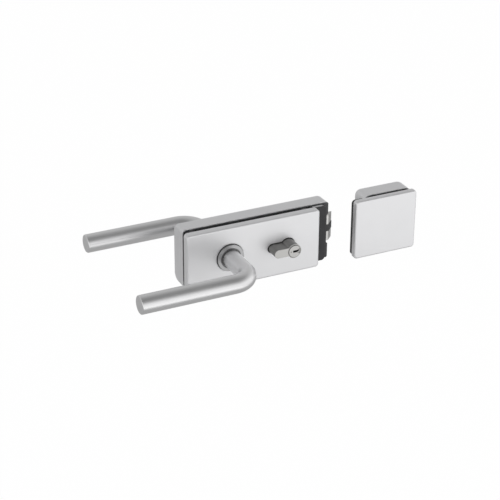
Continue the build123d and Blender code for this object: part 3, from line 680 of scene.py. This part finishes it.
class LOCKSET_OT_blacks(bpy.types.Operator):
    """Finishes the plates, gaskets and plastic pieces in black"""

    bl_idname = "lockset.blacks"
    bl_label = "Finish the black pieces"

    def execute(self, context):
        looks = context.scene.lockset_finishes
        black = looks.black
        wear(coated_plate("Black coated plate", looks.plate, roughness=0.45))
        wear(moulded_black("Black rubber", black, roughness=0.75, pebble=2200.0, depth=0.3))
        wear(moulded_black("Black plastic", black, roughness=0.45, pebble=1500.0, depth=0.2))
        return {"FINISHED"}


class LOCKSET_OT_stage(bpy.types.Operator):
    """Sets the floor, the room, the lamps and the photograph's camera"""

    bl_idname = "lockset.stage"
    bl_label = "Set the stage"

    def execute(self, context):
        studio = context.scene.lockset_studio
        self.floor(context, studio)
        self.room(context, studio)
        for name, (place, size, power) in LAMPS.items():
            self.lamp(context, name, place, size, power)
        self.camera(context)
        context.scene.view_settings.view_transform = "Standard"
        return {"FINISHED"}

    def floor(self, context, studio):
        """A floor that is white to the camera and patterned in the metal's reflections."""
        half = FLOOR_HALF
        corners = [(-half, -half), (half, -half), (half, half), (-half, half)]
        mesh = bpy.data.meshes.new("Floor")
        mesh.from_pydata([(x, y, studio.floor_height) for x, y in corners], [], [(0, 1, 2, 3)])
        floor = bpy.data.objects.new("Floor", mesh)
        context.scene.collection.objects.link(floor)
        finish = Finish(bpy.data.materials.new("Pale floor"))
        rays = finish.outputs("ShaderNodeLightPath")
        white = finish.add("ShaderNodeEmission", Color=WHITE, Strength=1.0)
        matt = finish.add("ShaderNodeBsdfDiffuse", Color=FLOOR_PAINT)
        sheen = finish.add("ShaderNodeEmission", Color=WHITE, Strength=self.sheen(finish, studio))
        glossy, camera = rays["Is Glossy Ray"], rays["Is Camera Ray"]
        mirrored = finish.add("ShaderNodeMixShader", None, glossy, matt, sheen)
        seen = finish.add("ShaderNodeMixShader", None, camera * FLOOR_WHITE, mirrored, white)
        finish.node("ShaderNodeOutputMaterial", Surface=seen)
        mesh.materials.append(finish.owner)

    def sheen(self, finish, studio):
        """How bright the floor is in the metal: a pale sheet lies in front and to the right."""
        x, y, _ = finish.axes()
        right, front = SHEET_HEADING
        sheet = (x * right - y * front).within(*SHEET_START)
        fainter = x.within(*SHEET_FADE) * SHEET_FADE_SHARE
        return sheet * (1.0 - fainter) * studio.sheet_white + studio.floor_grey

    def backdrop(self, finish, studio):
        """How bright the room is in the metal: in front pale below and dark above, grey behind."""
        _, y, z = finish.axes()
        behind = y.within(*ROOM_BEHIND)
        low = (1.0 - z.within(*ROOM_OVERHEAD)) * (1.0 - behind)
        grey = studio.front_grey + behind * (studio.back_grey - studio.front_grey)
        return grey + low * studio.sheet_white

    def room(self, context, studio):
        """A room that is white to the camera and patterned in the metal's reflections."""
        world = bpy.data.worlds.new("Room")
        context.scene.world = world
        finish = Finish(world)
        camera = finish.outputs("ShaderNodeLightPath")["Is Camera Ray"]
        grey = self.backdrop(finish, studio)
        light = finish.add(
            "ShaderNodeBackground", Color=WHITE, Strength=grey * (1.0 - camera) + camera,
        )
        finish.node("ShaderNodeOutputWorld", Surface=light)

    def lamp(self, context, name, place, size, power):
        light = bpy.data.lights.new(name, "AREA")
        light.size = size
        light.energy = power
        light.specular_factor = 0.0
        lamp = bpy.data.objects.new(name, light)
        lamp.visible_glossy = False
        lamp.location = place
        aim = Vector(LAMPS_AIM) - lamp.location
        lamp.rotation_euler = aim.to_track_quat("-Z", "Y").to_euler()
        context.scene.collection.objects.link(lamp)

    def camera(self, context):
        azimuth, elevation, roll = (
            math.radians(angle) for angle in (CAMERA_AZIMUTH, CAMERA_ELEVATION, CAMERA_ROLL)
        )
        back = Vector((
            -math.sin(azimuth) * math.cos(elevation),
            -math.cos(azimuth) * math.cos(elevation),
            math.sin(elevation),
        ))
        right = Vector((math.cos(azimuth), -math.sin(azimuth), 0.0))
        up = back.cross(right)
        turned = (
            right * math.cos(roll) + up * math.sin(roll),
            up * math.cos(roll) - right * math.sin(roll),
            back,
        )
        data = bpy.data.cameras.new("Photo camera")
        data.lens = CAMERA_LENS
        data.sensor_width = 36.0
        data.clip_end = 50.0
        camera = bpy.data.objects.new("Photo camera", data)
        turn = Matrix(turned).transposed().to_4x4()
        camera.matrix_world = Matrix.Translation(CAMERA_PLACE) @ turn
        context.scene.collection.objects.link(camera)
        context.scene.camera = camera


class LOCKSET_PT_panel(bpy.types.Panel):
    """The lockset's sizes, finishes and studio, and the steps that make it"""

    bl_label = "Lockset"
    bl_idname = "LOCKSET_PT_panel"
    bl_space_type = "VIEW_3D"
    bl_region_type = "UI"
    bl_category = "Lockset"

    def draw(self, context):
        for name in GROUPS:
            values = getattr(context.scene, name)
            box = self.layout.box()
            for key in type(values).__annotations__:
                box.prop(values, key)
        for step in STEPS:
            self.layout.operator(step.bl_idname)


GROUPS = {
    "lockset_sizes": LocksetSizes,
    "lockset_finishes": LocksetFinishes,
    "lockset_studio": LocksetStudio,
}
STEPS = (
    LOCKSET_OT_works,
    LOCKSET_OT_blacks,
    LOCKSET_OT_covers,
    LOCKSET_OT_levers,
    LOCKSET_OT_springs,
    LOCKSET_OT_stage,
)


def register():
    for group in (*GROUPS.values(), *STEPS, LOCKSET_PT_panel):
        bpy.utils.register_class(group)
    for name, group in GROUPS.items():
        setattr(bpy.types.Scene, name, bpy.props.PointerProperty(type=group))


def unregister():
    for name in GROUPS:
        delattr(bpy.types.Scene, name)
    for group in reversed((*GROUPS.values(), *STEPS, LOCKSET_PT_panel)):
        bpy.utils.unregister_class(group)


def main():
    register()
    for step in STEPS:
        family, action = step.bl_idname.split(".")
        getattr(getattr(bpy.ops, family), action)()


if __name__ == "__main__":
    main()
